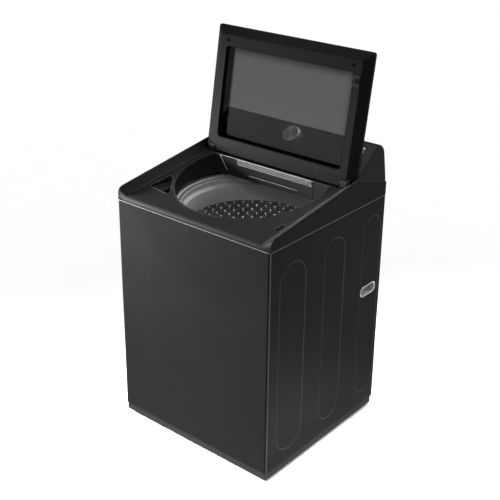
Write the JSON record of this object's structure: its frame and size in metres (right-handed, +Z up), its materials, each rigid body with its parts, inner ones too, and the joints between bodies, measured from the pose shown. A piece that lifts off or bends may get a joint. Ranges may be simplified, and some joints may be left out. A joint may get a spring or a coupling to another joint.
{
  "type": "washing machine",
  "caption": "Top-loading washing machine with a glass lid, a sloping rear console with one knob, and a perforated drum on a sprung tub.",
  "frame": {"origin": "on the floor, under the middle of the cabinet's width and depth", "axes": "+Z up, the front faces -Y, +X is the user's right"},
  "size_m": [0.686, 0.658, 1.413],
  "materials": {
    "graphite_paint": "satin metallic graphite paint",
    "deck_plastic": "fine-grained dark grey moulding",
    "black_plastic": "satin black moulding",
    "lid_plastic": "fine-grained dark grey moulding",
    "tinted_glass": "polished tinted glass with a dark printed border",
    "grey_plastic": "satin mid grey moulding",
    "pale_grey": "satin pale grey moulding",
    "fascia_gloss": "gloss dark fascia",
    "brushed_knob": "radially brushed",
    "drum_steel": "bright, dimpled and perforated",
    "bright_steel": "turned bright steel",
    "zinc_plate": "plain zinc coat",
    "dark_steel": "satin dark paint",
    "rubber": "matt black",
    "copper": "enamelled windings",
    "board_green": "coated board",
    "tub_plastic": "plain white-grey moulding"
  },
  "bodies": {
    "cabinet": {"base_frame": "dark_steel", "cabinet_wrap": "graphite_paint", "rear_panel": "zinc_plate", "drain_outlet": "black_plastic", "power_cord_gland": "rubber", "side_grip_left": "grey_plastic", "side_grip_right": "grey_plastic", "top_cover": "deck_plastic", "basin_collar": "black_plastic", "inlet_housing": "black_plastic", "dispenser_well": "black_plastic", "lid_lock_housing": "black_plastic", "hinge_block_left": "black_plastic", "hinge_block_right": "black_plastic", "console_housing": "black_plastic", "control_fascia": "fascia_gloss", "control_board": "board_green", "water_valve_hot": "grey_plastic", "water_valve_cold": "grey_plastic", "suspension_rod_front_left": "zinc_plate", "suspension_rod_front_right": "zinc_plate", "suspension_rod_rear_left": "zinc_plate", "suspension_rod_rear_right": "zinc_plate", "suspension_spring_front_left": "bright_steel", "suspension_spring_front_right": "bright_steel", "suspension_spring_rear_left": "bright_steel", "suspension_spring_rear_right": "bright_steel"},
    "foot_front_left": {"foot_front_left": "rubber"},
    "foot_front_right": {"foot_front_right": "rubber"},
    "foot_rear_left": {"foot_rear_left": "rubber"},
    "foot_rear_right": {"foot_rear_right": "rubber"},
    "lid_bolt": {"lid_lock_bolt": "grey_plastic"},
    "lid": {"lid_frame": "lid_plastic", "lid_glass": "tinted_glass", "lid_inner_frame": "lid_plastic", "lid_hinge_cover_left": "lid_plastic", "lid_hinge_cover_right": "lid_plastic", "lid_bumper_left": "rubber", "lid_bumper_right": "rubber", "hinge_pin_left": "bright_steel", "hinge_pin_right": "bright_steel", "lid_latch_hook": "black_plastic"},
    "knob": {"cycle_knob": "brushed_knob"},
    "start_button": {"start_button": "pale_grey"},
    "pause_button": {"pause_button": "pale_grey"},
    "power_button": {"power_button": "pale_grey"},
    "tub": {"outer_tub": "tub_plastic", "tub_cover_ring": "grey_plastic", "bearing_housing": "zinc_plate", "bearing_cartridge": "bright_steel", "main_seal": "rubber", "stator": "copper", "drain_pump": "black_plastic"},
    "basket": {"basket": "drum_steel", "basket_hub": "zinc_plate", "balance_ring": "grey_plastic"},
    "drive": {"impeller": "grey_plastic", "impeller_cap": "pale_grey", "drive_shaft": "bright_steel", "rotor": "dark_steel"}
  },
  "joints": [
    {"name": "lid_hinge", "type": "hinge", "parent": "cabinet", "child": "lid", "pos_m": [0, 0.12802, 0.97393], "axis": [1, 0, 0], "range_deg": [0, 107]},
    {"name": "lid_lock_slide", "type": "slide", "parent": "cabinet", "child": "lid_bolt", "axis": [0, 1, 0], "range_m": [0, 0.014]},
    {"name": "tub_suspension", "type": "slide", "parent": "cabinet", "child": "tub", "axis": [0, 0, 1], "range_m": [-0.025, 0.012], "stiffness_N_per_m": 12000, "springref_m": 0.0286, "deforming": ["suspension_spring_front_left", "suspension_spring_front_right", "suspension_spring_rear_left", "suspension_spring_rear_right"]},
    {"name": "basket_spin", "type": "hinge", "parent": "tub", "child": "basket", "pos_m": [0, 0, 0.238], "axis": [0, 0, 1], "continuous": true},
    {"name": "drive_spin", "type": "hinge", "parent": "tub", "child": "drive", "pos_m": [0, 0, 0.238], "axis": [0, 0, 1], "continuous": true},
    {"name": "knob_turn", "type": "hinge", "parent": "cabinet", "child": "knob", "pos_m": [0, 0.22682, 1.04844], "axis": [0, -0.628, 0.7782], "continuous": true},
    {"name": "start_press", "type": "slide", "parent": "cabinet", "child": "start_button", "axis": [0, 0.628, -0.7782], "range_m": [0, 0.0015], "stiffness_N_per_m": 300},
    {"name": "pause_press", "type": "slide", "parent": "cabinet", "child": "pause_button", "axis": [0, 0.628, -0.7782], "range_m": [0, 0.0015], "stiffness_N_per_m": 300},
    {"name": "power_press", "type": "slide", "parent": "cabinet", "child": "power_button", "axis": [0, 0.628, -0.7782], "range_m": [0, 0.0015], "stiffness_N_per_m": 300},
    {"name": "level_front_left", "type": "slide", "parent": "cabinet", "child": "foot_front_left", "axis": [0, 0, 1], "range_m": [-0.01, 0.003]},
    {"name": "level_front_right", "type": "slide", "parent": "cabinet", "child": "foot_front_right", "axis": [0, 0, 1], "range_m": [-0.01, 0.003]},
    {"name": "level_rear_left", "type": "slide", "parent": "cabinet", "child": "foot_rear_left", "axis": [0, 0, 1], "range_m": [-0.01, 0.003]},
    {"name": "level_rear_right", "type": "slide", "parent": "cabinet", "child": "foot_rear_right", "axis": [0, 0, 1], "range_m": [-0.01, 0.003]}
  ]
}
